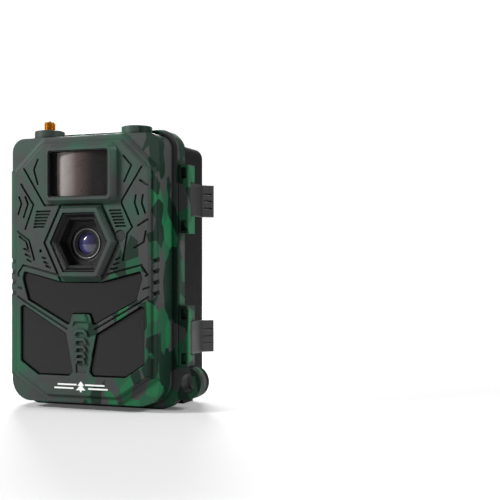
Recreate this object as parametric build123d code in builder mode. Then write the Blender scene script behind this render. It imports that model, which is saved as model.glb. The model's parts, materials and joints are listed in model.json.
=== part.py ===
"""Trail camera: a clamshell box that straps to a tree, hinged on its left side and closed by two latches.

+X is the viewer's right when facing the lens, the lens looks along -Y, and +Z is up.
The origin is the mouth of the tripod socket, on the plane that the feet and the flange stand on.
"""

from build123d import *
import math
import os

os.makedirs("parts", exist_ok=True)

# ---- driving dimensions, in millimetres ----
FLANGE_WIDTH = 100.0
FLANGE_HEIGHT = 154.8
BODY_WIDTH = 92.0
BODY_HEIGHT = 147.4
CASE_WIDTH = 91.0
CASE_HEIGHT = 142.6
WALL = 2.5
CORNER = 12.0
BODY_CORNER = 7.5
CASE_CORNER = 6.0
FLANGE_SIDE = FLANGE_WIDTH / 2
CASE_SIDE = CASE_WIDTH / 2

MID_Z = FLANGE_HEIGHT / 2
CASE_BOTTOM = MID_Z - CASE_HEIGHT / 2

# depths from the lens side to the tree side
FRONT_Y = -49.0
PLATE_PROUD = 1.8
BORDER_Y = FRONT_Y + PLATE_PROUD
PAD_DROP = 1.6
SKIN_Y = BORDER_Y + 2.9
FLANGE_Y = -30.0
PARTING_Y = -22.0
REAR_FLANGE = 3.0
REAR_Y = 15.0
FLOOR_Y = REAR_Y - WALL
COVER_BACK = PARTING_Y - 0.5
COVER_FRONT = COVER_BACK - 2.0
BOARD_Y = -32.0
CAMERA_Y = -34.6
LAMP_BOARD_Y = -42.0

# heights of the hinges and latches above and below the middle
SIDE_PITCH = 38.6
SIDE_LOW = 19.8
SIDE_HIGH = 57.4
LOWER_BAR_END = -53.2
BARS = ((1, SIDE_LOW, SIDE_HIGH), (-1, LOWER_BAR_END, -SIDE_LOW))
PIN_RADIUS = 1.5
PIN_LENGTH = 28.4
PIN_SEAT = 0.02
PIN_RUNNING = 0.06
GAP = 0.3

HINGE_X = -52.4
HINGE_Y = -26.6
HINGE_RADIUS = 3.3
HINGE_BAR = 37.6
BARREL = 18.0
GUSSET = 2.0
GUSSET_PITCH = 7.4
GUSSET_BACK = -7.0

LATCH_Z = {1: 38.7, -1: -37.7}
LATCH_X = 52.9
LATCH_Y = -23.4
LATCH_RADIUS = 2.5
LEVER = 18.0
EAR_OUT = 55.8
EAR_BACK = -20.8
BAR_BACK = -26.9
POCKET_INSET = 4.4
POCKET_DEEP = 2.4
FLARE_Y = -9.4
TAB_X = 60.2
TAB_Y = -4.2
CATCH_X = 49.9

LUG_X = 54.2
LUG_Z = -62.4
LUG_RADIUS = 9.0
LUG_HOLE_X = 55.4
LUG_HOLE_WIDTH = 7.4
LUG_HOLE_HEIGHT = 10.4
REAR_LUG = 4.5

BOSS_X = 27.6
BOSS_Y = -36.0
BOSS_RADIUS = 8.4
BOSS_TOP = 78.4
SMA_RADIUS = 3.175
SMA_PROUD = 5.2

PIR_Z = 52.4
PIR_WIDTH = 44.4
PIR_HEIGHT = 33.2
PIR_PROUD = 3.8
PIR_OPEN_WIDTH = 37.4
PIR_OPEN_HEIGHT = 25.6
PIR_LENS_WIDTH = 32.0
PIR_LENS_HEIGHT = 24.4
PIR_EDGE_Y = FRONT_Y + 1.2
PIR_BULGE = 3.4

HEX_OUT = 17.9
HEX_BASE = 21.6
HEX_PROUD = 3.0
HEX_IN = 12.6
HEX_Z = 14.8
SEAM = 23.0
BEZEL_PROUD = 2.3
BEZEL_STEP = 0.4
BEZEL_DEEP = 8.2
FUNNEL_FLOOR = 5.8
LENS_Z = 14.4
LENS_RADIUS = 9.6
LENS_FACE_Y = FRONT_Y + 6.8
TRIM_RADIUS = 8.4
TRIM_WIDTH = 0.6
GLASS_RADIUS = 6.0
GLASS_DOME = 10.8

MARK_Z = -64.4
MARK_THICK = 0.12
SENSOR_X = 23.9
SENSOR_Z = 18.1
SENSOR_RADIUS = 3.3
MIC_X = -25.5
MIC_Z = 10.3
WINDOW_BACK = 3.0
WINDOW_RECESS = 1.3
WINDOW_GAP = 0.5
WINDOW_CORNER = 1.2
LEDGE = 1.5

# rear brackets, strap loops, feet and tripod socket
BRACKET_X = 28.9
BRACKET_WIDTH = 12.4
BRACKET_RIB = 2.6
HEAD_OUT = 31.0
HEAD_WIDTH = 15.4
BAR_OUT = 25.5
TUNNEL_Z = 44.9
TUNNEL_RADIUS = 5.6
TUNNEL_OUT = 26.4
SLOT_TOP = 34.0
SLOT_LOW = -9.4
SLOT_OUT = 21.4
TOOTH_PITCH = 2.7
TOOTH_SPAN = 13.4
LOOP_OUT = 30.5
LOOP_Z = -39.4
LOOP_WIDTH = 11.4
LOOP_HEIGHT = 11.8
LOOP_DEEP = 9.6
BASE = 2.0
FOOT_X = 39.5
TRIPOD_RADIUS = 8.2
TRIPOD_THREAD = 3.175
TRIPOD_DEPTH = 8.0
INSERT_RADIUS = 5.0

SEAL = 2.2
SEAL_WIDTH = 92.0
SEAL_HEIGHT = 145.6
SEAL_DEEP = 1.3

SCREW_RADIUS = 1.3
SCREW_CORE = 1.1
SCREW_HEAD = 1.2
SCREW_GRIP = 4.0
BRACKET_SCREWS = [
    (side * BRACKET_X, z)
    for side in (-1, 1)
    for z in (TUNNEL_Z - TUNNEL_RADIUS - 3.0, SLOT_LOW - 2.6, LOOP_Z)
]
COVER_SCREWS = [(side * 38.4, z) for side in (-1, 1) for z in (-64.0, 0.0, 64.0)]

# inside the front half
SCREEN_Z = 38.0
SCREEN_WIDTH = 44.0
SCREEN_HEIGHT = 34.0
KEY_Z = -2.0
KEY_RADIUS = 3.6
KEYS = {
    "key_ok": (0, KEY_Z),
    "key_up": (0, KEY_Z + 11.0),
    "key_down": (0, KEY_Z - 11.0),
    "key_left": (-13.0, KEY_Z),
    "key_right": (13.0, KEY_Z),
}
MODE_X = -28.0
MODE_Z = -2.0
MODE_SLOT = 14.0
CARD_X = -14.0
CARD_Z = -40.0
SPEAKER_Z = -42.0
LAMP_PITCH = 6.0
LAMP_PLACES = [
    (side * (12.0 + LAMP_PITCH * column), -29.0 - LAMP_PITCH * row)
    for side in (-1, 1)
    for row in range(5)
    for column in range(4)
    if 12.0 + LAMP_PITCH * column < 31 and (row > 0 or column > 1)
] + [(side * x, z) for side in (-1, 1) for x, z in ((6.0, -12.0), (12.0, -14.0), (18.0, -12.0), (24.0, -12.0),
                                                       (30.0, -10.0), (12.0, -20.0), (18.0, -18.0))]

# batteries
CELL_RADIUS = 7.1
CELL_LENGTH = 50.2
CELL_PITCH = 15.4
NUB = 1.2
POCKET = 54.6
NUB_END = POCKET / 2 - 0.4
SPRING_LENGTH = POCKET - 0.4 - CELL_LENGTH
WIRE = 0.35
SPRING_RADIUS = 3.4
SPRING_TURNS = 3
TRAY_Z = 2.0
CELL_Y = FLOOR_Y - SCREW_HEAD - 1.6 - CELL_RADIUS
TRAY_FRONT = CELL_Y - CELL_RADIUS + 0.2
POWER_X = 22.0
POWER_Y = -6.0
POWER_RADIUS = 5.0


def facing(y):
    """A plane that looks out of the front at depth y, with its centre at mid-height."""
    return Plane(origin=(0, y, MID_Z), x_dir=(1, 0, 0), z_dir=(0, -1, 0))


def sideways(x):
    """A plane across the object at x, whose own axes are Y and the height above the middle."""
    return Plane(origin=(x, 0, MID_Z), x_dir=(0, 1, 0), z_dir=(1, 0, 0))


def level(z):
    """A horizontal plane at a height above the middle."""
    return Plane.XY.offset(MID_Z + z)


def mirrored(points):
    """A closed outline made of a right half and its mirror image."""
    return [*points, *[(-x, z) for x, z in reversed(points)]]


def hexagon(half_width):
    """The lens bezel's outline, wider than it is tall, with a corner at each side."""
    across = half_width * 0.55
    rise = half_width * 0.91
    return [
        (half_width, HEX_Z),
        (across, HEX_Z + rise),
        (-across, HEX_Z + rise),
        (-half_width, HEX_Z),
        (-across, HEX_Z - rise),
        (across, HEX_Z - rise),
    ]


def body_outline(inset):
    """The front box's outline, a little inside its outer face; its lower corners are the rounder ones."""
    with BuildSketch() as outline:
        Rectangle(BODY_WIDTH - 2 * inset, BODY_HEIGHT - 2 * inset)
        fillet(outline.vertices().group_by(Axis.Y)[-1], BODY_CORNER - inset)
        fillet(outline.vertices().group_by(Axis.Y)[0], CORNER - inset)
    return outline.sketch


# ---- outlines on the front face: X and height above the middle ----
PLATE = [(24.5, 70.6), (41.9, 53.6), (41.9, -57.2), (22.0, -70.2)]
VISOR = [(12.6, -6.6), (36.4, -0.8), (37.4, -5.0), (33.8, -17.0), (7.4, -30.9), (5.2, -24.6)]
VISOR_LINE = [(13.0, -3.4), (36.8, 2.4), (40.6, -3.0)]
PANEL = [(38.6, -20.6), (38.6, -51.0), (27.0, -58.6), (7.2, -58.6), (5.0, -56.0), (9.2, -35.2), (36.4, -19.6)]
SPINE_STEPS = 5
SPINE_TOP = -32.9
SPINE_CAP = [(3.2, -24.4), (5.6, -31.8), (3.4, -29.0)]
PADS = [
    [(24.5, 72.2), (43.1, 54.4), (60.0, 54.4), (60.0, 90.0), (24.5, 90.0)],
    [(21.8, -71.6), (43.1, -57.8), (60.0, -57.8), (60.0, -90.0), (21.8, -90.0)],
]

LEFT_LINES = [
    [(-36.3, 60.8), (-37.3, 58.1), (-22.9, 35.6), (-16.2, 35.6)],
    [(-27.2, 61.6), (-29.8, 55.6), (-27.2, 47.1)],
    [(-38.3, 48.0), (-30.1, 36.0), (-35.6, 22.2)],
    [(-35.6, 41.0), (-33.7, 36.7), (-36.6, 28.8)],
    [(-39.6, 41.0), (-37.9, 37.0), (-40.2, 30.6)],
    [(-41.0, 21.7), (-33.0, 16.5), (-29.5, 5.0)],
    [(-39.6, 18.8), (-34.8, 15.6), (-33.3, 10.4)],
]
RIGHT_LINES = [
    [(37.2, 55.4), (25.2, 37.4), (24.9, 35.8), (31.4, 22.6), (28.4, 19.4), (25.8, 4.6)],
    [(25.8, 61.6), (30.9, 56.1), (26.4, 47.1)],
    [(35.6, 48.1), (40.7, 45.0)],
    [(33.6, 40.2), (32.8, 35.8), (35.2, 29.2)],
    [(37.8, 40.2), (37.0, 35.8), (39.2, 29.8)],
    [(34.4, 23.3), (40.7, 26.9)],
    [(39.5, 20.8), (38.2, 14.6), (32.2, 11.4)],
]
EDGE_LINES = [
    [(39.0, -3.6), (41.0, -2.6)],
    [(37.5, -10.8), (41.4, -9.3)],
    [(35.6, -17.8), (41.0, -14.6)],
]
SHORT_LINES = [
    [(-36.7, 11.9), (-32.6, 10.1)],
    [(-35.7, 8.7), (-31.8, 7.0)],
    [(-34.5, 5.7), (-31.3, 4.3)],
    [(-24.7, 6.8), (-21.8, 6.0)],
    [(-23.7, 4.4), (-20.5, 3.2)],
    [(-22.4, 2.2), (-18.8, 0.8)],
    [(21.2, 5.2), (24.2, 6.4)],
    [(19.6, 2.6), (23.6, 3.6)],
    [(18.0, 0.2), (22.8, 0.8)],
]
LINE_WIDTH = 1.1
LINE_DEPTH = 1.0
VENTS = 6
VENT_PITCH = 1.7
NOTCHES = 4
NOTCH_PITCH = 5.9


# ---- front shell: face, flange, hinge and latch bars, padlock eye and top bosses ----
with BuildPart() as front_shell:
    with BuildSketch(facing(FLANGE_Y)):
        add(body_outline(0))
    extrude(amount=FLANGE_Y - BORDER_Y)
    fillet(front_shell.faces().sort_by(Axis.Y)[0].edges(), 1.0)
    with BuildSketch(facing(PARTING_Y)):
        RectangleRounded(FLANGE_WIDTH, FLANGE_HEIGHT, CORNER)
    extrude(amount=PARTING_Y - FLANGE_Y)
    fillet(front_shell.faces().filter_by(Axis.Y).sort_by(Axis.Y)[-2].outer_wire().edges(), 1.2)

    # the face drops away at its four corners, down a slope to a lower pad
    for pad in PADS:
        for side in (-1, 1):
            with BuildSketch(facing(BORDER_Y)):
                Polygon(*[(side * x, z) for x, z in pad], align=None)
            with BuildSketch(facing(BORDER_Y + PAD_DROP)):
                spread = [(side * (x + PAD_DROP), z + math.copysign(PAD_DROP, z)) for x, z in pad]
                Polygon(*spread, align=None)
            loft(mode=Mode.SUBTRACT)

    # the raised plate in the middle of the face, with bevelled edges
    with BuildSketch(facing(BORDER_Y)):
        Polygon(*mirrored(PLATE), align=None)
    extrude(amount=PLATE_PROUD, taper=35)

    # the raised frames round the motion sensor's window and round the lens
    with BuildSketch(facing(FRONT_Y)):
        with Locations((0, PIR_Z)):
            RectangleRounded(PIR_WIDTH, PIR_HEIGHT, 4.6)
    extrude(amount=PIR_PROUD, taper=30)
    with BuildSketch(facing(FRONT_Y)):
        Polygon(*hexagon(HEX_BASE), align=None)
    with BuildSketch(facing(FRONT_Y - HEX_PROUD)):
        Polygon(*hexagon(HEX_OUT + 2.4), align=None)
    loft()

    # latch bars on the right: an ear at each end of a bar holds the lever's pin
    for side, low, high in BARS:
        with BuildSketch(level(low)):
            with Locations(((FLANGE_SIDE + EAR_OUT) / 2, (FLANGE_Y + EAR_BACK) / 2)):
                Rectangle(EAR_OUT - FLANGE_SIDE, EAR_BACK - FLANGE_Y)
        extrude(amount=high - low)
    fillet(front_shell.edges().filter_by(Axis.Z).group_by(Axis.X)[-1], 0.8)
    for side, low, high in BARS:
        with BuildSketch(level(LATCH_Z[side] - LEVER / 2 - GAP)):
            with Locations((FLANGE_SIDE + EAR_OUT, BAR_BACK + EAR_OUT)):
                Rectangle(2 * EAR_OUT, 2 * EAR_OUT)
        extrude(amount=LEVER + 2 * GAP, mode=Mode.SUBTRACT)
        for z in (high - POCKET_INSET, low + POCKET_INSET):
            with BuildSketch(facing(FLANGE_Y)):
                with Locations((LATCH_X, z)):
                    RectangleRounded(3.2, 6.2, 0.8)
            extrude(amount=-POCKET_DEEP, mode=Mode.SUBTRACT)

    # padlock eye
    with BuildSketch(facing(PARTING_Y)):
        with Locations((LUG_X, LUG_Z)):
            Circle(LUG_RADIUS)
        with Locations((LUG_X - LUG_RADIUS, LUG_Z)):
            Rectangle(2 * LUG_RADIUS, 2 * LUG_RADIUS)
    extrude(amount=PARTING_Y - FLANGE_Y)

    # hinge knuckles on the left, above and below each barrel of the rear case
    for side in (-1, 1):
        for end in (-1, 1):
            inner = side * SIDE_PITCH + end * (BARREL / 2 + GAP)
            outer = side * SIDE_PITCH + end * HINGE_BAR / 2
            with BuildSketch(level(min(inner, outer))):
                with Locations((HINGE_X, HINGE_Y)):
                    Circle(HINGE_RADIUS)
                with Locations((HINGE_X / 2 - FLANGE_SIDE / 2 + 1, HINGE_Y)):
                    Rectangle(-HINGE_X - FLANGE_SIDE + 2, 2 * HINGE_RADIUS)
            extrude(amount=abs(outer - inner))
        with BuildSketch(level(side * SIDE_PITCH - BARREL / 2 - GAP)):
            with Locations((HINGE_X, HINGE_Y)):
                Circle(HINGE_RADIUS + 0.5)
        extrude(amount=BARREL + 2 * GAP, mode=Mode.SUBTRACT)

    # bosses on top: one carries the antenna socket, the other is blank
    for x in (-BOSS_X, BOSS_X):
        with BuildSketch(level(BODY_HEIGHT / 2 - 3)):
            with Locations((x, BOSS_Y)):
                Circle(BOSS_RADIUS)
        extrude(amount=BOSS_TOP - BODY_HEIGHT / 2 + 3)
    fillet(front_shell.faces().filter_by(Axis.Z).sort_by(Axis.Z)[-2:].edges(), 0.6)

    # the hollow inside
    with BuildSketch(facing(PARTING_Y)):
        add(body_outline(WALL))
    extrude(amount=PARTING_Y - SKIN_Y, mode=Mode.SUBTRACT)

    # a seat for the inner cover's screws at each corner and half-way up
    with BuildSketch(facing(COVER_FRONT)):
        with Locations(*COVER_SCREWS):
            Circle(3.2)
    extrude(amount=COVER_FRONT - SKIN_Y)
    with BuildSketch(facing(COVER_FRONT)):
        with Locations(*COVER_SCREWS):
            Circle(SCREW_CORE)
    extrude(amount=COVER_FRONT - SKIN_Y - 3, mode=Mode.SUBTRACT)

    # window openings, each with a ledge that its window rests on
    for outline in (mirrored(VISOR), PANEL, [(-x, z) for x, z in PANEL]):
        with BuildSketch(facing(FRONT_Y)) as opening:
            Polygon(*outline, align=None)
            fillet(opening.vertices(), WINDOW_CORNER)
        extrude(amount=-WINDOW_BACK, mode=Mode.SUBTRACT)
        with BuildSketch(facing(FRONT_Y)):
            Polygon(*outline, align=None)
            offset(amount=-LEDGE, kind=Kind.INTERSECTION, mode=Mode.REPLACE)
        extrude(amount=FRONT_Y - SKIN_Y, mode=Mode.SUBTRACT)
    with BuildSketch(facing(FRONT_Y - PIR_PROUD)):
        with Locations((0, PIR_Z)):
            RectangleRounded(PIR_OPEN_WIDTH, PIR_OPEN_HEIGHT, 1.6)
    extrude(amount=-PIR_PROUD - 2.0, mode=Mode.SUBTRACT)
    with BuildSketch(facing(FRONT_Y)):
        with Locations((0, PIR_Z)):
            RectangleRounded(PIR_OPEN_WIDTH - 2 * LEDGE, PIR_OPEN_HEIGHT - 2 * LEDGE, 1.0)
    extrude(amount=FRONT_Y - SKIN_Y, mode=Mode.SUBTRACT)

    # the lens opening, the light sensor's seat, the microphone hole and the antenna hole
    with BuildSketch(facing(SKIN_Y)):
        Polygon(*hexagon(HEX_OUT), align=None)
    extrude(amount=SKIN_Y - FRONT_Y + HEX_PROUD, mode=Mode.SUBTRACT)
    with BuildSketch(facing(FRONT_Y)):
        with Locations((SENSOR_X, SENSOR_Z)):
            Circle(SENSOR_RADIUS)
        with Locations((MIC_X, MIC_Z)):
            Circle(0.9)
    extrude(amount=FRONT_Y - SKIN_Y, mode=Mode.SUBTRACT)
    with BuildSketch(level(BODY_HEIGHT / 2 - 3)):
        with Locations((-BOSS_X, BOSS_Y)):
            Circle(SMA_RADIUS + 0.02)
    extrude(amount=10, mode=Mode.SUBTRACT)

    # engraved lines, vents and the groove round the lens bezel
    with BuildSketch(facing(FRONT_Y)):
        for line in [*LEFT_LINES, *RIGHT_LINES, VISOR_LINE, *EDGE_LINES, *SHORT_LINES]:
            with BuildLine():
                Polyline(*line)
            trace(line_width=LINE_WIDTH)
        for line in (VISOR_LINE, *EDGE_LINES):
            with BuildLine():
                Polyline(*[(-x, z) for x, z in line])
            trace(line_width=LINE_WIDTH)
        with BuildLine():
            Polyline((-VISOR_LINE[0][0], VISOR_LINE[0][1]), VISOR_LINE[0])
        trace(line_width=LINE_WIDTH)
        for side in (-1, 1):
            with BuildLine():
                Polyline((side * 36.6, -17.4), (side * 8.4, -32.8))
            trace(line_width=LINE_WIDTH)
    extrude(amount=-LINE_DEPTH, mode=Mode.SUBTRACT)
    with BuildSketch(facing(FRONT_Y)):
        for row in range(VENTS):
            drop = row * VENT_PITCH
            with Locations((-23.7 - drop * 0.35, 32.2 - drop)):
                Rectangle(9.4 - drop * 0.3, LINE_WIDTH)
            with Locations((21.0 + drop * 0.4, 31.9 - drop)):
                Rectangle(7.2 - drop * 0.1, LINE_WIDTH)
    extrude(amount=-LINE_DEPTH, mode=Mode.SUBTRACT)
    with BuildSketch(facing(FRONT_Y)):
        with BuildLine():
            Polyline(*hexagon(SEAM), close=True)
        trace(line_width=LINE_WIDTH + 0.3)
    extrude(amount=-LINE_DEPTH, mode=Mode.SUBTRACT)

    # grip notches down both front edges
    for side in (-1, 1):
        for notch in range(NOTCHES):
            with BuildSketch(facing(BORDER_Y - 1)):
                with Locations((side * 45.4, 5.2 - notch * NOTCH_PITCH)):
                    Rectangle(5.2, 2.2, rotation=side * 20)
            extrude(amount=-2.4, mode=Mode.SUBTRACT)

    # stacked arches down the spine between the lower windows, with a recess at the end
    for step in range(SPINE_STEPS):
        z = SPINE_TOP - step * (4.9 - 0.25 * step)
        base = 4.6 - step * 0.35
        top = 2.5 - step * 0.1
        with BuildSketch(facing(FRONT_Y)):
            arch = [(top, z), (base, z - 2.7), (base - 1.3, z - 3.2), (top - 0.5, z - 1.4)]
            Polygon(*mirrored(arch), align=None)
        extrude(amount=1.2)
    with BuildSketch(facing(FRONT_Y)):
        Polygon(*mirrored(SPINE_CAP), align=None)
    extrude(amount=1.2, taper=30)
    with BuildSketch(facing(FRONT_Y)):
        with Locations((0, -53.7)):
            Rectangle(6.4, 6.0)
    extrude(amount=-0.6, mode=Mode.SUBTRACT)

    # holes: padlock eye, hinge pins and latch pins
    with BuildSketch(facing(PARTING_Y)):
        with Locations((LUG_HOLE_X, LUG_Z)):
            SlotOverall(LUG_HOLE_HEIGHT, LUG_HOLE_WIDTH, rotation=90)
    extrude(amount=PARTING_Y - FLANGE_Y, mode=Mode.SUBTRACT)
    for side in (-1, 1):
        for x, y, z in ((HINGE_X, HINGE_Y, side * SIDE_PITCH), (LATCH_X, LATCH_Y, LATCH_Z[side])):
            with BuildSketch(level(z - PIN_LENGTH / 2)):
                with Locations((x, y)):
                    Circle(PIN_RADIUS + PIN_SEAT)
            extrude(amount=PIN_LENGTH, mode=Mode.SUBTRACT)
front_shell.part.label = "front_shell"
export_step(front_shell.part, "parts/front_shell.step")


# ---- rear case: box, flange, hinge barrels, padlock eye, feet and tripod boss ----
with BuildPart() as rear_case:
    with BuildSketch(facing(REAR_Y)):
        RectangleRounded(CASE_WIDTH, CASE_HEIGHT, CASE_CORNER)
    extrude(amount=REAR_Y - PARTING_Y)
    fillet(rear_case.faces().sort_by(Axis.Y)[-1].edges(), 1.8)
    with BuildSketch(facing(PARTING_Y + REAR_FLANGE)):
        RectangleRounded(FLANGE_WIDTH - 1.0, FLANGE_HEIGHT - 1.0, CORNER - 0.5)
    extrude(amount=REAR_FLANGE)
    fillet(rear_case.faces().filter_by(Axis.Y).sort_by(Axis.Y)[1].outer_wire().edges(), 0.6)

    # padlock eye
    with BuildSketch(facing(PARTING_Y + REAR_LUG)):
        with Locations((LUG_X, LUG_Z)):
            Circle(LUG_RADIUS - 0.3)
        with Locations((LUG_X - LUG_RADIUS, LUG_Z)):
            Rectangle(2 * LUG_RADIUS, 2 * LUG_RADIUS - 0.6)
    extrude(amount=REAR_LUG)
    with BuildSketch(facing(PARTING_Y + REAR_LUG)):
        with Locations((LUG_HOLE_X, LUG_Z)):
            SlotOverall(LUG_HOLE_HEIGHT, LUG_HOLE_WIDTH, rotation=90)
    extrude(amount=REAR_LUG, mode=Mode.SUBTRACT)

    # hinge barrels, each held by a web and three gussets
    web_back = PARTING_Y + REAR_FLANGE
    outer_x = HINGE_X - HINGE_RADIUS
    for side in (-1, 1):
        low = side * SIDE_PITCH - BARREL / 2
        with BuildSketch(level(low)):
            with Locations((HINGE_X, HINGE_Y)):
                Circle(HINGE_RADIUS)
            Polygon(
                (outer_x, HINGE_Y),
                (outer_x, web_back - 2),
                (-FLANGE_SIDE, web_back + 2),
                (-CASE_SIDE + 1, web_back + 2),
                (-CASE_SIDE + 1, PARTING_Y + 0.2),
                (-FLANGE_SIDE - 0.6, PARTING_Y + 0.2),
                (-FLANGE_SIDE - 0.6, HINGE_Y),
                align=None,
            )
        extrude(amount=BARREL)
        for end in (-1, 0, 1):
            with BuildSketch(level(side * SIDE_PITCH + end * GUSSET_PITCH - GUSSET / 2)):
                Polygon(
                    (outer_x, web_back - 3),
                    (outer_x + 0.4, web_back + 0.5),
                    (-CASE_SIDE - 0.8, GUSSET_BACK),
                    (-CASE_SIDE + 1, GUSSET_BACK),
                    (-CASE_SIDE + 1, web_back - 1),
                    align=None,
                )
            extrude(amount=GUSSET)
        with BuildSketch(level(low)):
            with Locations((HINGE_X, HINGE_Y)):
                Circle(PIN_RADIUS + PIN_RUNNING)
        extrude(amount=BARREL, mode=Mode.SUBTRACT)

    # feet and tripod boss under the case
    for x in (-FOOT_X, FOOT_X):
        with BuildSketch(Plane.XY):
            with Locations((x, 3.0)):
                Rectangle(3.0, 14.0)
        extrude(amount=CASE_BOTTOM + 1)
    with BuildSketch(Plane.XY):
        Circle(TRIPOD_RADIUS)
    extrude(amount=TRIPOD_DEPTH + 2.5)

    # the hollow inside, the seal's groove, the insert's seat and the power socket's hole
    with BuildSketch(facing(FLOOR_Y)):
        RectangleRounded(CASE_WIDTH - 2 * WALL, CASE_HEIGHT - 2 * WALL, CASE_CORNER - WALL)
    extrude(amount=FLOOR_Y - PARTING_Y, mode=Mode.SUBTRACT)
    with BuildSketch(Plane.XY.offset(CASE_BOTTOM)):
        Circle(TRIPOD_RADIUS)
    extrude(amount=TRIPOD_DEPTH + 2.5 - CASE_BOTTOM)
    with BuildSketch(facing(PARTING_Y)):
        RectangleRounded(SEAL_WIDTH + SEAL, SEAL_HEIGHT + SEAL, 8.0 + SEAL / 2)
        RectangleRounded(SEAL_WIDTH - SEAL, SEAL_HEIGHT - SEAL, 8.0 - SEAL / 2, mode=Mode.SUBTRACT)
    extrude(amount=-SEAL_DEEP, mode=Mode.SUBTRACT)
    with BuildSketch(Plane.XY):
        Circle(INSERT_RADIUS + PIN_SEAT)
    extrude(amount=TRIPOD_DEPTH, mode=Mode.SUBTRACT)
    with BuildSketch(Plane.XY.offset(CASE_BOTTOM)):
        with Locations((POWER_X, POWER_Y)):
            Circle(POWER_RADIUS + PIN_SEAT)
    extrude(amount=WALL, mode=Mode.SUBTRACT)

    # blank label recess and the bracket screws' holes
    with BuildSketch(facing(REAR_Y)):
        with Locations((0, 2.3)):
            RectangleRounded(23.0, 32.0, 1.5)
    extrude(amount=0.5, mode=Mode.SUBTRACT)
    with BuildSketch(facing(REAR_Y)):
        with Locations(*BRACKET_SCREWS):
            Circle(SCREW_RADIUS + PIN_SEAT)
    extrude(amount=WALL, mode=Mode.SUBTRACT)
rear_case.part.label = "rear_case"
export_step(rear_case.part, "parts/rear_case.step")

# ---- seal between the halves ----
with BuildPart() as seal:
    with BuildSketch(facing(PARTING_Y)):
        RectangleRounded(SEAL_WIDTH + SEAL, SEAL_HEIGHT + SEAL, 8.0 + SEAL / 2)
        RectangleRounded(SEAL_WIDTH - SEAL, SEAL_HEIGHT - SEAL, 8.0 - SEAL / 2, mode=Mode.SUBTRACT)
    extrude(amount=-SEAL_DEEP)
seal.part.label = "seal"
export_step(seal.part, "parts/seal.step")

# ---- threaded insert in the tripod boss ----
with BuildPart() as tripod_insert:
    with BuildSketch(Plane.XY):
        Circle(INSERT_RADIUS)
        Circle(TRIPOD_THREAD, mode=Mode.SUBTRACT)
    extrude(amount=TRIPOD_DEPTH)
tripod_insert.part.label = "tripod_insert"
export_step(tripod_insert.part, "parts/tripod_insert.step")


# ---- tree brackets: two ribs, a toothed head and a long bar that a strap passes behind ----
def bracket(name, x):
    """One tree bracket standing on the rear face, centred on x."""
    with BuildPart() as piece:
        with BuildSketch(sideways(x)) as outline:
            Polygon(
                (REAR_Y, 61.0),
                (REAR_Y + 2.5, 60.4),
                (HEAD_OUT - 2.0, 52.6),
                (HEAD_OUT, 49.6),
                (HEAD_OUT, 40.2),
                (BAR_OUT, 35.6),
                (BAR_OUT, -11.0),
                (REAR_Y + 2.5, -17.2),
                (REAR_Y, -17.8),
                align=None,
            )
            fillet(outline.vertices().filter_by(lambda vertex: vertex.X > REAR_Y + 3), 1.4)
        extrude(amount=BRACKET_WIDTH / 2, both=True)
        with BuildSketch(sideways(x)):
            Polygon(
                (HEAD_OUT - 3.6, 52.4),
                (HEAD_OUT, 49.6),
                (HEAD_OUT, 40.2),
                (HEAD_OUT - 3.6, 37.6),
                align=None,
            )
        extrude(amount=HEAD_WIDTH / 2, both=True)
        # cable tunnel with a rounded outer end, and the strap slot behind the bar
        with BuildSketch(sideways(x)):
            with BuildLine():
                Polyline(
                    (TUNNEL_OUT - TUNNEL_RADIUS, TUNNEL_Z + TUNNEL_RADIUS),
                    (REAR_Y, TUNNEL_Z + TUNNEL_RADIUS),
                    (REAR_Y, TUNNEL_Z - TUNNEL_RADIUS),
                    (TUNNEL_OUT - TUNNEL_RADIUS, TUNNEL_Z - TUNNEL_RADIUS),
                )
                ThreePointArc(
                    (TUNNEL_OUT - TUNNEL_RADIUS, TUNNEL_Z - TUNNEL_RADIUS),
                    (TUNNEL_OUT, TUNNEL_Z),
                    (TUNNEL_OUT - TUNNEL_RADIUS, TUNNEL_Z + TUNNEL_RADIUS),
                )
            make_face()
            with Locations(((REAR_Y + SLOT_OUT) / 2, (SLOT_TOP + SLOT_LOW) / 2)):
                RectangleRounded(SLOT_OUT - REAR_Y, SLOT_TOP - SLOT_LOW, 1.2)
        extrude(amount=BRACKET_WIDTH, both=True, mode=Mode.SUBTRACT)
        # the valley between the two ribs, above the head and below the bar
        for low, high in ((TUNNEL_Z + TUNNEL_RADIUS + 2, 62.0), (-19.0, SLOT_LOW - 3.2)):
            with BuildSketch(level(low)):
                with Locations((x, REAR_Y + 9.5)):
                    Rectangle(BRACKET_WIDTH - 2 * BRACKET_RIB, 13.0)
            extrude(amount=high - low, mode=Mode.SUBTRACT)
        # the head's teeth: three columns of four
        with BuildSketch(sideways(x)):
            for row in range(4):
                z = TUNNEL_Z + (row - 1.5) * TOOTH_PITCH
                with BuildLine():
                    Polyline((HEAD_OUT - 0.2, z - 1.1), (HEAD_OUT + 1.6, z - 0.4), (HEAD_OUT + 1.6, z + 0.4),
                             (HEAD_OUT - 0.2, z + 1.1), close=True)
                make_face()
        extrude(amount=TOOTH_SPAN / 2, both=True)
        for gap in (-1, 1):
            with BuildSketch(level(TUNNEL_Z - 8)):
                with Locations((x + gap * TOOTH_SPAN / 6.3, HEAD_OUT + 1)):
                    Rectangle(1.3, 2)
            extrude(amount=16, mode=Mode.SUBTRACT)
        # screw holes in the base
        with BuildSketch(facing(REAR_Y)):
            with Locations((x, TUNNEL_Z - TUNNEL_RADIUS - 3.0), (x, SLOT_LOW - 2.6)):
                Circle(SCREW_RADIUS + PIN_SEAT)
        extrude(amount=-SCREW_GRIP, mode=Mode.SUBTRACT)
    piece.part.label = name
    export_step(piece.part, f"parts/{name}.step")


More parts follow.
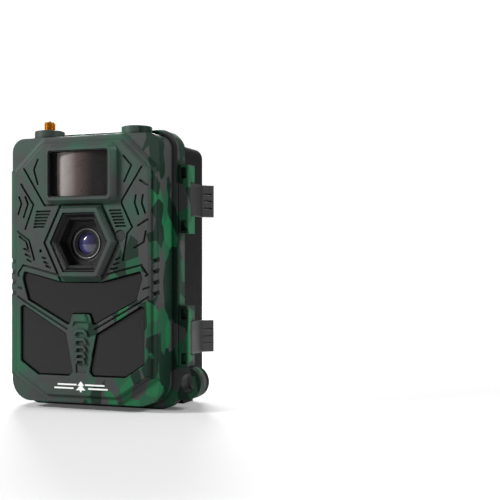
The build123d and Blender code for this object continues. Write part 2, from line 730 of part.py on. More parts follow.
def strap_loop(name, x):
    """One low strap loop standing on the rear face, centred on x."""
    with BuildPart() as piece:
        with BuildSketch(sideways(x)):
            with Locations(((REAR_Y + LOOP_OUT) / 2, LOOP_Z)):
                Rectangle(LOOP_OUT - REAR_Y, LOOP_HEIGHT)
        extrude(amount=LOOP_WIDTH / 2, both=True)
        chamfer(piece.faces().sort_by(Axis.Y)[-1].edges().filter_by(Axis.X), 1.0)
        with BuildSketch(sideways(x)):
            with Locations((REAR_Y + BASE + LOOP_DEEP / 2, LOOP_Z)):
                RectangleRounded(LOOP_DEEP, LOOP_HEIGHT - 3.2, 0.8)
        extrude(amount=LOOP_WIDTH, both=True, mode=Mode.SUBTRACT)
        for rib in (-1, 0, 1):
            with BuildSketch(facing(LOOP_OUT)):
                with Locations((x + rib * 3.2, LOOP_Z)):
                    Rectangle(0.8, LOOP_HEIGHT)
            extrude(amount=0.6, mode=Mode.SUBTRACT)
        with BuildSketch(facing(REAR_Y)):
            with Locations((x, LOOP_Z)):
                Circle(SCREW_RADIUS + PIN_SEAT)
        extrude(amount=-BASE, mode=Mode.SUBTRACT)
    piece.part.label = name
    export_step(piece.part, f"parts/{name}.step")


bracket("tree_bracket_right", BRACKET_X)
bracket("tree_bracket_left", -BRACKET_X)
strap_loop("strap_loop_right", BRACKET_X)
strap_loop("strap_loop_left", -BRACKET_X)

# ---- screws that hold the brackets and loops from inside the case ----
with BuildPart() as bracket_screws:
    with BuildSketch(facing(FLOOR_Y)):
        with Locations(*BRACKET_SCREWS):
            Circle(2.4)
    extrude(amount=1.2)
    with BuildSketch(facing(FLOOR_Y)):
        with Locations(*BRACKET_SCREWS):
            Circle(SCREW_RADIUS)
    extrude(amount=-WALL - BASE + 0.3)
bracket_screws.part.label = "bracket_screws"
export_step(bracket_screws.part, "parts/bracket_screws.step")


# ---- pins of the hinges and latches ----
def pin(name, x, y, z):
    with BuildPart() as piece:
        with BuildSketch(level(z - PIN_LENGTH / 2)):
            with Locations((x, y)):
                Circle(PIN_RADIUS)
        extrude(amount=PIN_LENGTH)
        chamfer(piece.edges(), 0.2)
    piece.part.label = name
    export_step(piece.part, f"parts/{name}.step")


for side, word in ((1, "upper"), (-1, "lower")):
    pin(f"hinge_pin_{word}", HINGE_X, HINGE_Y, side * SIDE_PITCH)
    pin(f"latch_pin_{word}", LATCH_X, LATCH_Y, LATCH_Z[side])


# ---- latch levers: knuckle, plate, catch beside the case's flange and flared thumb tab ----
def lever(name, z):
    catch_y = PARTING_Y + REAR_FLANGE + 0.3
    with BuildPart() as piece:
        with BuildSketch(level(z - LEVER / 2)):
            with Locations((LATCH_X, LATCH_Y)):
                Circle(LATCH_RADIUS)
            Polygon(
                (LATCH_X, LATCH_Y),
                (LATCH_X + LATCH_RADIUS, LATCH_Y),
                (LATCH_X + LATCH_RADIUS, FLARE_Y),
                (TAB_X, TAB_Y),
                (TAB_X - 1.6, TAB_Y + 1.6),
                (LATCH_X + 0.2, FLARE_Y + 1.4),
                (LATCH_X, catch_y + 2.6),
                (CATCH_X, catch_y + 2.2),
                (CATCH_X, catch_y),
                (LATCH_X - 1.6, catch_y),
                (LATCH_X - 1.6, LATCH_Y + 1.6),
                align=None,
            )
        extrude(amount=LEVER)
        # finger grooves on the tab and a raised band on the plate
        for groove in (-1, 0, 1):
            with BuildSketch(level(z + groove * 4.0 - 0.5)):
                Polygon(
                    (LATCH_X + LATCH_RADIUS + 0.5, FLARE_Y + 0.2),
                    (LATCH_X + LATCH_RADIUS - 0.4, FLARE_Y + 1.0),
                    (TAB_X - 1.7, TAB_Y - 0.4),
                    (TAB_X - 0.9, TAB_Y - 1.2),
                    align=None,
                )
            extrude(amount=1.0, mode=Mode.SUBTRACT)
        with BuildSketch(level(z - LEVER / 2)):
            with Locations((LATCH_X, LATCH_Y)):
                Circle(PIN_RADIUS + PIN_RUNNING)
        extrude(amount=LEVER, mode=Mode.SUBTRACT)
    piece.part.label = name
    export_step(piece.part, f"parts/{name}.step")


lever("latch_lever_upper", LATCH_Z[1])
lever("latch_lever_lower", LATCH_Z[-1])


# ---- printed mark under the spine: a plain pine tree between two bars ----
with BuildPart() as print_mark:
    with BuildSketch(facing(FRONT_Y)):
        for side in (-1, 1):
            with Locations((side * 10.6, MARK_Z - 0.8), (side * 8.6, MARK_Z + 1.2)):
                Rectangle(12.0, 0.9)
        Polygon((0, MARK_Z + 3.2), (2.2, MARK_Z + 0.6), (-2.2, MARK_Z + 0.6), align=None)
        Polygon((0, MARK_Z + 1.4), (3.0, MARK_Z - 1.8), (-3.0, MARK_Z - 1.8), align=None)
        with Locations((0, MARK_Z - 2.2)):
            Rectangle(1.0, 1.2)
    extrude(amount=MARK_THICK)
print_mark.part.label = "print_mark"
export_step(print_mark.part, "parts/print_mark.step")


# ---- windows over the infrared lamps ----
def window(name, outline):
    with BuildPart() as piece:
        with BuildSketch(facing(FRONT_Y + WINDOW_BACK)) as pane:
            Polygon(*outline, align=None)
            offset(amount=-WINDOW_GAP, kind=Kind.INTERSECTION, mode=Mode.REPLACE)
            fillet(pane.vertices(), WINDOW_CORNER)
        extrude(amount=WINDOW_BACK - WINDOW_RECESS)
        chamfer(piece.faces().sort_by(Axis.Y)[0].edges(), 0.35)
    piece.part.label = name
    export_step(piece.part, f"parts/{name}.step")


window("lamp_window_upper", mirrored(VISOR))
window("lamp_window_right", PANEL)
window("lamp_window_left", [(-x, z) for x, z in PANEL])

# ---- motion sensor: black liner with a back flange, curved Fresnel lens and the sensor can behind it ----
with BuildPart() as motion_surround:
    with BuildSketch(facing(FRONT_Y + 1.8)):
        with Locations((0, PIR_Z)):
            RectangleRounded(PIR_OPEN_WIDTH - 0.3, PIR_OPEN_HEIGHT - 0.3, 1.5)
    extrude(amount=1.8 + PIR_PROUD - 0.4)
    with BuildSketch(facing(FRONT_Y)):
        with Locations((0, PIR_Z)):
            RectangleRounded(PIR_OPEN_WIDTH - 1.5, PIR_OPEN_HEIGHT - 1.1, 1.0)
    extrude(amount=PIR_PROUD, mode=Mode.SUBTRACT)
    with BuildSketch(facing(FRONT_Y + 1.8)):
        with Locations((0, PIR_Z)):
            Rectangle(PIR_LENS_WIDTH, PIR_LENS_HEIGHT)
    extrude(amount=1.8, mode=Mode.SUBTRACT)
motion_surround.part.label = "motion_surround"
export_step(motion_surround.part, "parts/motion_surround.step")

with BuildPart() as motion_lens:
    with BuildSketch(level(PIR_Z - PIR_LENS_HEIGHT / 2 + 0.1)):
        with BuildLine():
            half = PIR_LENS_WIDTH / 2 - 0.1
            ThreePointArc((-half, PIR_EDGE_Y), (0, PIR_EDGE_Y - PIR_BULGE), (half, PIR_EDGE_Y))
            Line((half, PIR_EDGE_Y), (half - 1.2, PIR_EDGE_Y))
            ThreePointArc((half - 1.2, PIR_EDGE_Y), (0, PIR_EDGE_Y - PIR_BULGE + 1.0), (1.2 - half, PIR_EDGE_Y))
            Line((1.2 - half, PIR_EDGE_Y), (-half, PIR_EDGE_Y))
        make_face()
    extrude(amount=PIR_LENS_HEIGHT - 0.2)
motion_lens.part.label = "motion_lens"
export_step(motion_lens.part, "parts/motion_lens.step")

with BuildPart() as motion_sensor:
    with BuildSketch(facing(BOARD_Y)):
        with Locations((0, PIR_Z)):
            Circle(4.6)
    extrude(amount=0.8)
    with BuildSketch(facing(BOARD_Y - 0.8)):
        with Locations((0, PIR_Z)):
            Circle(4.1)
    extrude(amount=3.6)
    with BuildSketch(facing(BOARD_Y - 4.4)):
        with Locations((0, PIR_Z)):
            Rectangle(4.0, 3.0)
    extrude(amount=-0.5, mode=Mode.SUBTRACT)
motion_sensor.part.label = "motion_sensor"
export_step(motion_sensor.part, "parts/motion_sensor.step")

# ---- lens bezel: a hexagonal rim that funnels down to the lens ----
with BuildPart() as lens_bezel:
    with BuildSketch(facing(FRONT_Y + BEZEL_DEEP)):
        Polygon(*hexagon(HEX_OUT - 0.15), align=None)
    extrude(amount=BEZEL_DEEP + BEZEL_PROUD)
    chamfer(lens_bezel.faces().sort_by(Axis.Y)[0].edges(), 0.3)
    # two flights of sloping walls with a ledge between them
    with BuildSketch(facing(FRONT_Y - BEZEL_PROUD)):
        Polygon(*hexagon(HEX_OUT - 1.0), align=None)
    with BuildSketch(facing(FRONT_Y + BEZEL_STEP)):
        Polygon(*hexagon(HEX_OUT - 2.8), align=None)
    loft(mode=Mode.SUBTRACT)
    with BuildSketch(facing(FRONT_Y + BEZEL_STEP)):
        Polygon(*hexagon(HEX_OUT - 3.9), align=None)
    with BuildSketch(facing(FRONT_Y + FUNNEL_FLOOR)):
        Polygon(*hexagon(HEX_IN), align=None)
    loft(mode=Mode.SUBTRACT)
    with BuildSketch(facing(FRONT_Y + BEZEL_DEEP)):
        with Locations((0, LENS_Z)):
            Circle(LENS_RADIUS + 0.1)
    extrude(amount=BEZEL_DEEP, mode=Mode.SUBTRACT)
lens_bezel.part.label = "lens_bezel"
export_step(lens_bezel.part, "parts/lens_bezel.step")

# ---- camera: barrel, trim ring, front glass, inner elements and the image sensor's board ----
with BuildPart() as lens_barrel:
    with BuildSketch(facing(CAMERA_Y)):
        with Locations((0, LENS_Z)):
            Circle(LENS_RADIUS)
    extrude(amount=CAMERA_Y - LENS_FACE_Y)
    with BuildSketch(facing(LENS_FACE_Y)):
        with Locations((0, LENS_Z)):
            Circle(TRIM_RADIUS + PIN_SEAT)
            Circle(TRIM_RADIUS - TRIM_WIDTH - PIN_SEAT, mode=Mode.SUBTRACT)
    extrude(amount=-1.0, mode=Mode.SUBTRACT)
    with BuildSketch(facing(LENS_FACE_Y)):
        with Locations((0, LENS_Z)):
            Circle(GLASS_RADIUS)
    extrude(amount=-4.0, mode=Mode.SUBTRACT)
    with BuildSketch(facing(LENS_FACE_Y)):
        with Locations((0, LENS_Z)):
            Circle(GLASS_RADIUS - 1.6)
    extrude(amount=LENS_FACE_Y - CAMERA_Y, mode=Mode.SUBTRACT)
lens_barrel.part.label = "lens_barrel"
export_step(lens_barrel.part, "parts/lens_barrel.step")

with BuildPart() as lens_ring:
    with BuildSketch(facing(LENS_FACE_Y + 1.0)):
        with Locations((0, LENS_Z)):
            Circle(TRIM_RADIUS)
            Circle(TRIM_RADIUS - TRIM_WIDTH, mode=Mode.SUBTRACT)
    extrude(amount=1.5)
    fillet(lens_ring.faces().sort_by(Axis.Y)[0].edges(), 0.2)
lens_ring.part.label = "lens_ring"
export_step(lens_ring.part, "parts/lens_ring.step")

with BuildPart() as lens_glass:
    with BuildSketch(facing(LENS_FACE_Y + 3.9)):
        with Locations((0, LENS_Z)):
            Circle(GLASS_RADIUS - 0.03)
    extrude(amount=4.5)
    with Locations((0, LENS_FACE_Y - 0.6 + GLASS_DOME, MID_Z + LENS_Z)):
        Sphere(GLASS_DOME, mode=Mode.INTERSECT)
lens_glass.part.label = "lens_glass"
export_step(lens_glass.part, "parts/lens_glass.step")

with BuildPart() as image_sensor:
    with BuildSketch(facing(CAMERA_Y + 1.2)):
        with Locations((0, LENS_Z)):
            Rectangle(22.0, 22.0)
    extrude(amount=1.2)
    with BuildSketch(facing(CAMERA_Y)):
        with Locations((0, LENS_Z)):
            Rectangle(6.4, 4.8)
    extrude(amount=1.0)
image_sensor.part.label = "image_sensor"
export_step(image_sensor.part, "parts/image_sensor.step")

# ---- light sensor and microphone ----
with BuildPart() as light_sensor:
    with BuildSketch(facing(FRONT_Y + 3.0)):
        with Locations((SENSOR_X, SENSOR_Z)):
            Circle(SENSOR_RADIUS - 0.05)
    extrude(amount=2.4)
    fillet(light_sensor.faces().sort_by(Axis.Y)[0].edges(), 0.3)
light_sensor.part.label = "light_sensor"
export_step(light_sensor.part, "parts/light_sensor.step")

with BuildPart() as microphone:
    with BuildSketch(facing(SKIN_Y + 3.0)):
        with Locations((MIC_X, MIC_Z)):
            Circle(3.0)
    extrude(amount=3.0)
microphone.part.label = "microphone"
export_step(microphone.part, "parts/microphone.step")

# ---- infrared lamps on their board ----
with BuildPart() as lamp_board:
    with BuildSketch(facing(LAMP_BOARD_Y + 1.6)):
        Polygon(*mirrored([(34.0, -6.0), (34.0, -56.0)]), align=None)
    extrude(amount=1.6)
lamp_board.part.label = "lamp_board"
export_step(lamp_board.part, "parts/lamp_board.step")

with BuildPart() as lamps:
    with BuildSketch(facing(LAMP_BOARD_Y)):
        with Locations(*LAMP_PLACES):
            Circle(1.5)
    extrude(amount=2.0)
    fillet(lamps.faces().filter_by(Axis.Y).group_by(Axis.Y)[0].edges(), 1.1)
lamps.part.label = "lamps"
export_step(lamps.part, "parts/lamps.step")

# ---- main board with its modem, card socket and speaker ----
with BuildPart() as main_board:
    with BuildSketch(facing(BOARD_Y + 1.6)):
        with Locations((0, 2.0)):
            RectangleRounded(70.0, 122.0, 2.0)
    extrude(amount=1.6)
main_board.part.label = "main_board"
export_step(main_board.part, "parts/main_board.step")

with BuildPart() as modem:
    with BuildSketch(facing(BOARD_Y)):
        with Locations((-21.0, 48.0)):
            RectangleRounded(24.0, 28.0, 0.8)
    extrude(amount=2.4)
modem.part.label = "modem"
export_step(modem.part, "parts/modem.step")

with BuildPart() as card_socket:
    with BuildSketch(facing(COVER_FRONT - 0.2)):
        with Locations((CARD_X, CARD_Z)):
            Rectangle(28.0, 4.6)
            Rectangle(24.4, 2.5, mode=Mode.SUBTRACT)
    extrude(amount=COVER_FRONT - 0.2 - BOARD_Y - 1.6)
card_socket.part.label = "card_socket"
export_step(card_socket.part, "parts/card_socket.step")

with BuildPart() as memory_card:
    with BuildSketch(facing(COVER_BACK + 1.6)):
        with Locations((CARD_X, CARD_Z)):
            Rectangle(24.0, 2.1)
    extrude(amount=COVER_BACK + 1.6 - BOARD_Y - 1.9)
memory_card.part.label = "memory_card"
export_step(memory_card.part, "parts/memory_card.step")

with BuildPart() as speaker:
    with BuildSketch(facing(COVER_FRONT - 0.2)):
        with Locations((24.0, SPEAKER_Z)):
            Circle(9.0)
    extrude(amount=3.2)
speaker.part.label = "speaker"
export_step(speaker.part, "parts/speaker.step")

# ---- antenna socket: threaded barrel with its centre contact ----
with BuildPart() as antenna_socket:
    with BuildSketch(level(BODY_HEIGHT / 2 - 6)):
        with Locations((-BOSS_X, BOSS_Y)):
            Circle(SMA_RADIUS)
    extrude(amount=BOSS_TOP + SMA_PROUD - BODY_HEIGHT / 2 + 6)
    chamfer(antenna_socket.faces().sort_by(Axis.Z)[-1].edges(), 0.4)
    for turn in range(7):
        with BuildSketch(level(BOSS_TOP + 0.7 + turn * 0.705)):
            with Locations((-BOSS_X, BOSS_Y)):
                Circle(SMA_RADIUS + 0.1)
                Circle(SMA_RADIUS - 0.3, mode=Mode.SUBTRACT)
        extrude(amount=0.35, mode=Mode.SUBTRACT)
    with BuildSketch(level(BOSS_TOP + SMA_PROUD)):
        with Locations((-BOSS_X, BOSS_Y)):
            Circle(2.2)
            Circle(0.6, mode=Mode.SUBTRACT)
    extrude(amount=-4.0, mode=Mode.SUBTRACT)
    with BuildSketch(level(BOSS_TOP + SMA_PROUD - 4.0)):
        with Locations((-BOSS_X, BOSS_Y)):
            Circle(0.6)
    extrude(amount=4.8)
antenna_socket.part.label = "antenna_socket"
export_step(antenna_socket.part, "parts/antenna_socket.step")

# ---- inner cover over the electronics, seen when the case is open ----
with BuildPart() as inner_cover:
    with BuildSketch(facing(COVER_BACK)):
        add(body_outline(WALL + 0.2))
        with Locations((0, SCREEN_Z)):
            RectangleRounded(SCREEN_WIDTH, SCREEN_HEIGHT, 1.0, mode=Mode.SUBTRACT)
        with Locations(*KEYS.values()):
            Circle(KEY_RADIUS + GAP, mode=Mode.SUBTRACT)
        with Locations((MODE_X, MODE_Z)):
            Rectangle(4.2, MODE_SLOT, mode=Mode.SUBTRACT)
        with Locations((CARD_X, CARD_Z)):
            Rectangle(24.6, 2.7, mode=Mode.SUBTRACT)
        with Locations(*COVER_SCREWS):
            Circle(SCREW_RADIUS + 0.1, mode=Mode.SUBTRACT)
        with Locations((24.0, SPEAKER_Z)):
            with GridLocations(4.0, 4.0, 3, 3):
                Circle(0.8, mode=Mode.SUBTRACT)
    extrude(amount=COVER_BACK - COVER_FRONT)
inner_cover.part.label = "inner_cover"
export_step(inner_cover.part, "parts/inner_cover.step")

with BuildPart() as cover_screws:
    with BuildSketch(facing(COVER_BACK)):
        with Locations(*COVER_SCREWS):
            Circle(2.3)
    extrude(amount=-0.4)
    with BuildSketch(facing(COVER_BACK)):
        with Locations(*COVER_SCREWS):
            Circle(SCREW_CORE - PIN_SEAT)
    extrude(amount=8.0)
cover_screws.part.label = "cover_screws"
export_step(cover_screws.part, "parts/cover_screws.step")

with BuildPart() as screen_window:
    with BuildSketch(facing(COVER_BACK - 0.1)):
        with Locations((0, SCREEN_Z)):
            RectangleRounded(SCREEN_WIDTH - 0.2, SCREEN_HEIGHT - 0.2, 0.9)
    extrude(amount=1.2)
screen_window.part.label = "screen_window"
export_step(screen_window.part, "parts/screen_window.step")

with BuildPart() as screen:
    with BuildSketch(facing(COVER_FRONT - 0.1)):
        with Locations((0, SCREEN_Z)):
            Rectangle(SCREEN_WIDTH + 6, SCREEN_HEIGHT + 8)
    extrude(amount=2.6)
screen.part.label = "screen"
export_step(screen.part, "parts/screen.step")

with BuildPart() as key_board:
    with BuildSketch(facing(COVER_FRONT - 2.4)):
        with Locations((0, KEY_Z)):
            Rectangle(40.0, 32.0)
    extrude(amount=1.0)
key_board.part.label = "key_board"
export_step(key_board.part, "parts/key_board.step")

# ---- keys: a round cap with a collar under the cover ----
for name, place in KEYS.items():
    with BuildPart() as key:
        with BuildSketch(facing(COVER_BACK + 1.2)):
            with Locations(place):
                Circle(KEY_RADIUS)
        extrude(amount=COVER_BACK + 1.2 - COVER_FRONT + 1.3)
        fillet(key.faces().sort_by(Axis.Y)[-1].edges(), 0.5)
        with BuildSketch(facing(COVER_FRONT - 0.4)):
            with Locations(place):
                Circle(KEY_RADIUS + 0.9)
        extrude(amount=0.9)
    key.part.label = name
    export_step(key.part, f"parts/{name}.step")

# ---- mode switch: a knob that slides between three positions ----
with BuildPart() as mode_switch:
    with BuildSketch(facing(COVER_BACK + 1.6)):
        with Locations((MODE_X, MODE_Z + (MODE_SLOT - 4.4) / 2 - 0.2)):
            Rectangle(3.6, 4.4)
    extrude(amount=COVER_BACK + 1.6 - COVER_FRONT + 1.2)
mode_switch.part.label = "mode_switch"
export_step(mode_switch.part, "parts/mode_switch.step")

# ---- battery tray, cells and their contacts ----
with BuildPart() as battery_tray:
    with BuildSketch(facing(FLOOR_Y - SCREW_HEAD)):
        with Locations((0, TRAY_Z)):
            RectangleRounded(4 * CELL_PITCH + 4, 2 * POCKET + 6, 2.0)
    extrude(amount=FLOOR_Y - SCREW_HEAD - TRAY_FRONT)
    with BuildSketch(facing(TRAY_FRONT)):
        with Locations((0, TRAY_Z)):
            with GridLocations(CELL_PITCH, POCKET + 2, 4, 2):
                Rectangle(CELL_PITCH - 0.9, POCKET)
    extrude(amount=-2 * CELL_RADIUS - 0.2, mode=Mode.SUBTRACT)
battery_tray.part.label = "battery_tray"
export_step(battery_tray.part, "parts/battery_tray.step")

CELL_PLACES = [
    (CELL_PITCH * (column - 1.5), MID_Z + TRAY_Z + (row - 0.5) * (POCKET + 2), 1 if (column + row) % 2 else -1)
    for row in range(2)
    for column in range(4)
]

with BuildPart() as cells:
    for x, z, way in CELL_PLACES:
        bottom = z + way * (NUB_END - CELL_LENGTH)
        with BuildSketch(Plane(origin=(x, CELL_Y, bottom), x_dir=(1, 0, 0), z_dir=(0, 0, way))):
            Circle(CELL_RADIUS)
        extrude(amount=CELL_LENGTH - NUB)
        with BuildSketch(Plane(origin=(x, CELL_Y, bottom + way * (CELL_LENGTH - NUB)), x_dir=(1, 0, 0),
                               z_dir=(0, 0, way))):
            Circle(2.7)
        extrude(amount=NUB)
cells.part.label = "cells"
export_step(cells.part, "parts/cells.step")

with BuildPart() as cell_contacts:
    for x, z, way in CELL_PLACES:
        with BuildSketch(Plane(origin=(x, CELL_Y, z + way * NUB_END), x_dir=(1, 0, 0), z_dir=(0, 0, way))):
            Rectangle(9.0, 9.0)
        extrude(amount=0.4)
cell_contacts.part.label = "cell_contacts"
export_step(cell_contacts.part, "parts/cell_contacts.step")

with BuildPart() as cell_springs:
    for x, z, way in CELL_PLACES:
        low = z - POCKET / 2 if way > 0 else z + POCKET / 2 - SPRING_LENGTH
        with BuildLine():
            height = SPRING_LENGTH - 2 * WIRE
            coil = Helix(height / SPRING_TURNS, height, SPRING_RADIUS, center=(x, CELL_Y, low + WIRE))
        with BuildSketch(Plane(origin=coil @ 0, z_dir=coil % 0)):
            Circle(WIRE)
        sweep(path=coil, is_frenet=True)
cell_springs.part.label = "cell_springs"
export_step(cell_springs.part, "parts/cell_springs.step")

# ---- power socket under the case, with its rubber plug ----
with BuildPart() as power_socket:
    with BuildSketch(Plane.XY.offset(CASE_BOTTOM + 0.4)):
        with Locations((POWER_X, POWER_Y)):
            Circle(POWER_RADIUS)
            Circle(3.2, mode=Mode.SUBTRACT)
    extrude(amount=9.0)
    with BuildSketch(Plane.XY.offset(CASE_BOTTOM + 8.4)):
        with Locations((POWER_X, POWER_Y)):
            Circle(POWER_RADIUS)
    extrude(amount=1.0)
    with BuildSketch(Plane.XY.offset(CASE_BOTTOM + 2.0)):
        with Locations((POWER_X, POWER_Y)):
            Circle(0.9)
    extrude(amount=7.0)
power_socket.part.label = "power_socket"
export_step(power_socket.part, "parts/power_socket.step")

with BuildPart() as power_plug:
    with BuildSketch(Plane.XY.offset(CASE_BOTTOM - 1.6)):
        with Locations((POWER_X, POWER_Y)):
            Circle(POWER_RADIUS + 1.6)
    extrude(amount=1.6)
    fillet(power_plug.faces().sort_by(Axis.Z)[0].edges(), 0.6)
    with BuildSketch(Plane.XY.offset(CASE_BOTTOM)):
        with Locations((POWER_X, POWER_Y)):
            Circle(3.1)
            Circle(1.2, mode=Mode.SUBTRACT)
    extrude(amount=4.0)
power_plug.part.label = "power_plug"
export_step(power_plug.part, "parts/power_plug.step")
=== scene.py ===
"""Studio picture of the camouflage trail camera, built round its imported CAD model."""

import json
import math

import bpy
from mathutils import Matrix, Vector

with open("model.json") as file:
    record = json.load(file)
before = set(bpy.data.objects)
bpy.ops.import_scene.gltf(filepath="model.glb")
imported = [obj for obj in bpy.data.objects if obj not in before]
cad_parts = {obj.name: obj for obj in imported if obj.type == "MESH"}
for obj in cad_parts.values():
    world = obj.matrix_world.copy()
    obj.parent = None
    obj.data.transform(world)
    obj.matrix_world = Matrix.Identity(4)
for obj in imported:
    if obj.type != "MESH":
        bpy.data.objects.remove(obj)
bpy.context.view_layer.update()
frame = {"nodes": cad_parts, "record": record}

MM = 0.001
NODES = frame["nodes"]
GRAIN_DEPTH = 0.1 * MM
GRAIN_DETAIL = 3.0
EDGE_SAMPLES = 6
SHADE_SAMPLES = 8


# ---- node helpers ----
def new_material(name):
    """A material with an empty tree apart from its output and its Principled shader."""
    material = bpy.data.materials.new(name)
    material.use_nodes = True
    tree = material.node_tree
    shader = next(n for n in tree.nodes if n.type == "BSDF_PRINCIPLED")
    return material, tree, shader


def add(tree, kind, **settings):
    """Adds one node; keys that name an input set its value, others set the node's own property."""
    node = tree.nodes.new(kind)
    for key, value in settings.items():
        if hasattr(node, key):
            setattr(node, key, value)
        else:
            node.inputs[key.replace("_", " ").title()].default_value = value
    return node


def ramp(tree, stops, constant=False):
    """A colour ramp with the given (position, colour) stops."""
    node = tree.nodes.new("ShaderNodeValToRGB")
    node.color_ramp.interpolation = "CONSTANT" if constant else "LINEAR"
    elements = node.color_ramp.elements
    while len(elements) < len(stops):
        elements.new(0.5)
    for element, (place, colour) in zip(elements, stops):
        element.position = place
        element.color = (*colour, 1.0)
    return node


def srgb(red, green, blue):
    """A linear colour from 0-255 display values."""
    def channel(value):
        value /= 255
        return value / 12.92 if value <= 0.04045 else ((value + 0.055) / 1.055) ** 2.4
    return tuple(channel(value) for value in (red, green, blue))


def grain(tree, shader, scale, strength, rounding=0.0):
    """The fine moulded texture of a surface, as bump, over edges shaded as if slightly rounded."""
    place = tree.nodes.new("ShaderNodeTexCoord")
    noise = add(tree, "ShaderNodeTexNoise", scale=scale, detail=GRAIN_DETAIL)
    bump = add(tree, "ShaderNodeBump", strength=strength, distance=GRAIN_DEPTH)
    tree.links.new(place.outputs["Object"], noise.inputs["Vector"])
    tree.links.new(noise.outputs["Fac"], bump.inputs["Height"])
    tree.links.new(bump.outputs["Normal"], shader.inputs["Normal"])
    if rounding:
        edge = add(tree, "ShaderNodeBevel", radius=rounding)
        edge.samples = EDGE_SAMPLES
        tree.links.new(edge.outputs["Normal"], bump.inputs["Normal"])
    return place, noise


def painted_crevice_shade(tree, colour, reach, dark=0.25):
    """The colour with painted shade: darker in grooves and inner corners, where ambient occlusion finds
    them.
    """
    crevice = add(tree, "ShaderNodeAmbientOcclusion", distance=reach)
    crevice.samples = SHADE_SAMPLES
    depth = ramp(tree, [(0.35, (dark, dark, dark)), (0.95, (1.0, 1.0, 1.0))])
    tree.links.new(crevice.outputs["AO"], depth.inputs["Fac"])
    product = tree.nodes.new("ShaderNodeVectorMath")
    product.operation = "MULTIPLY"
    tree.links.new(colour, product.inputs[0])
    tree.links.new(depth.outputs["Color"], product.inputs[1])
    return product.outputs["Vector"]


def vary(tree, place, scale, low, high):
    """A slow change between two values, for roughness."""
    noise = add(tree, "ShaderNodeTexNoise", scale=scale, detail=2.0)
    span = tree.nodes.new("ShaderNodeMapRange")
    span.inputs["To Min"].default_value = low
    span.inputs["To Max"].default_value = high
    tree.links.new(place.outputs["Object"], noise.inputs["Vector"])
    tree.links.new(noise.outputs["Fac"], span.inputs["Value"])
    return span.outputs["Result"]


def mix(tree, factor, first, second):
    """The first colour where the factor is black, the second where it is white."""
    node = tree.nodes.new("ShaderNodeMix")
    node.data_type = "RGBA"
    shown = [socket for socket in node.inputs if socket.enabled]
    for socket, source in zip(shown, (factor, first, second)):
        tree.links.new(source, socket)
    return next(socket for socket in node.outputs if socket.enabled)


# ---- materials ----
# the camouflage: cells per metre, and where patches gather, as a slope per metre and an offset
CAMO_CELLS = 150.0
PATCH_LEAN = (12.0, 50.0, -5.0)
PATCH_OFFSET = 3.16
PATCH_START = 0.62
SHELL_GRAIN = 2600.0
SHELL_ROUNDING = 0.4 * MM
PART_ROUNDING = 0.3 * MM
# how far the painted shade reaches into grooves and inner corners, on the shell and on the other parts
SHELL_SHADE_REACH = 2.2 * MM
PART_SHADE_REACH = 2.0 * MM
FRESNEL_HALF = 16 * MM
DARK_GREEN = srgb(14, 36, 27)
GREY_GREEN = srgb(49, 68, 60)
FIELD_GREEN = srgb(38, 80, 59)
GREY_BROWN = srgb(57, 59, 58)
FERN_GREEN = srgb(28, 74, 51)
BRIGHT_GREEN = srgb(28, 90, 56)


def patchiness(tree, place):
    """How likely a patch is: rare on the upper left of the face, usual to the right, below and behind."""
    weight = tree.nodes.new("ShaderNodeVectorMath")
    weight.operation = "DOT_PRODUCT"
    weight.inputs[1].default_value = PATCH_LEAN
    level = tree.nodes.new("ShaderNodeMath")
    level.operation = "ADD"
    level.inputs[1].default_value = PATCH_OFFSET
    level.use_clamp = True
    tree.links.new(place, weight.inputs[0])
    tree.links.new(weight.outputs["Value"], level.inputs[0])
    return level.outputs["Value"]


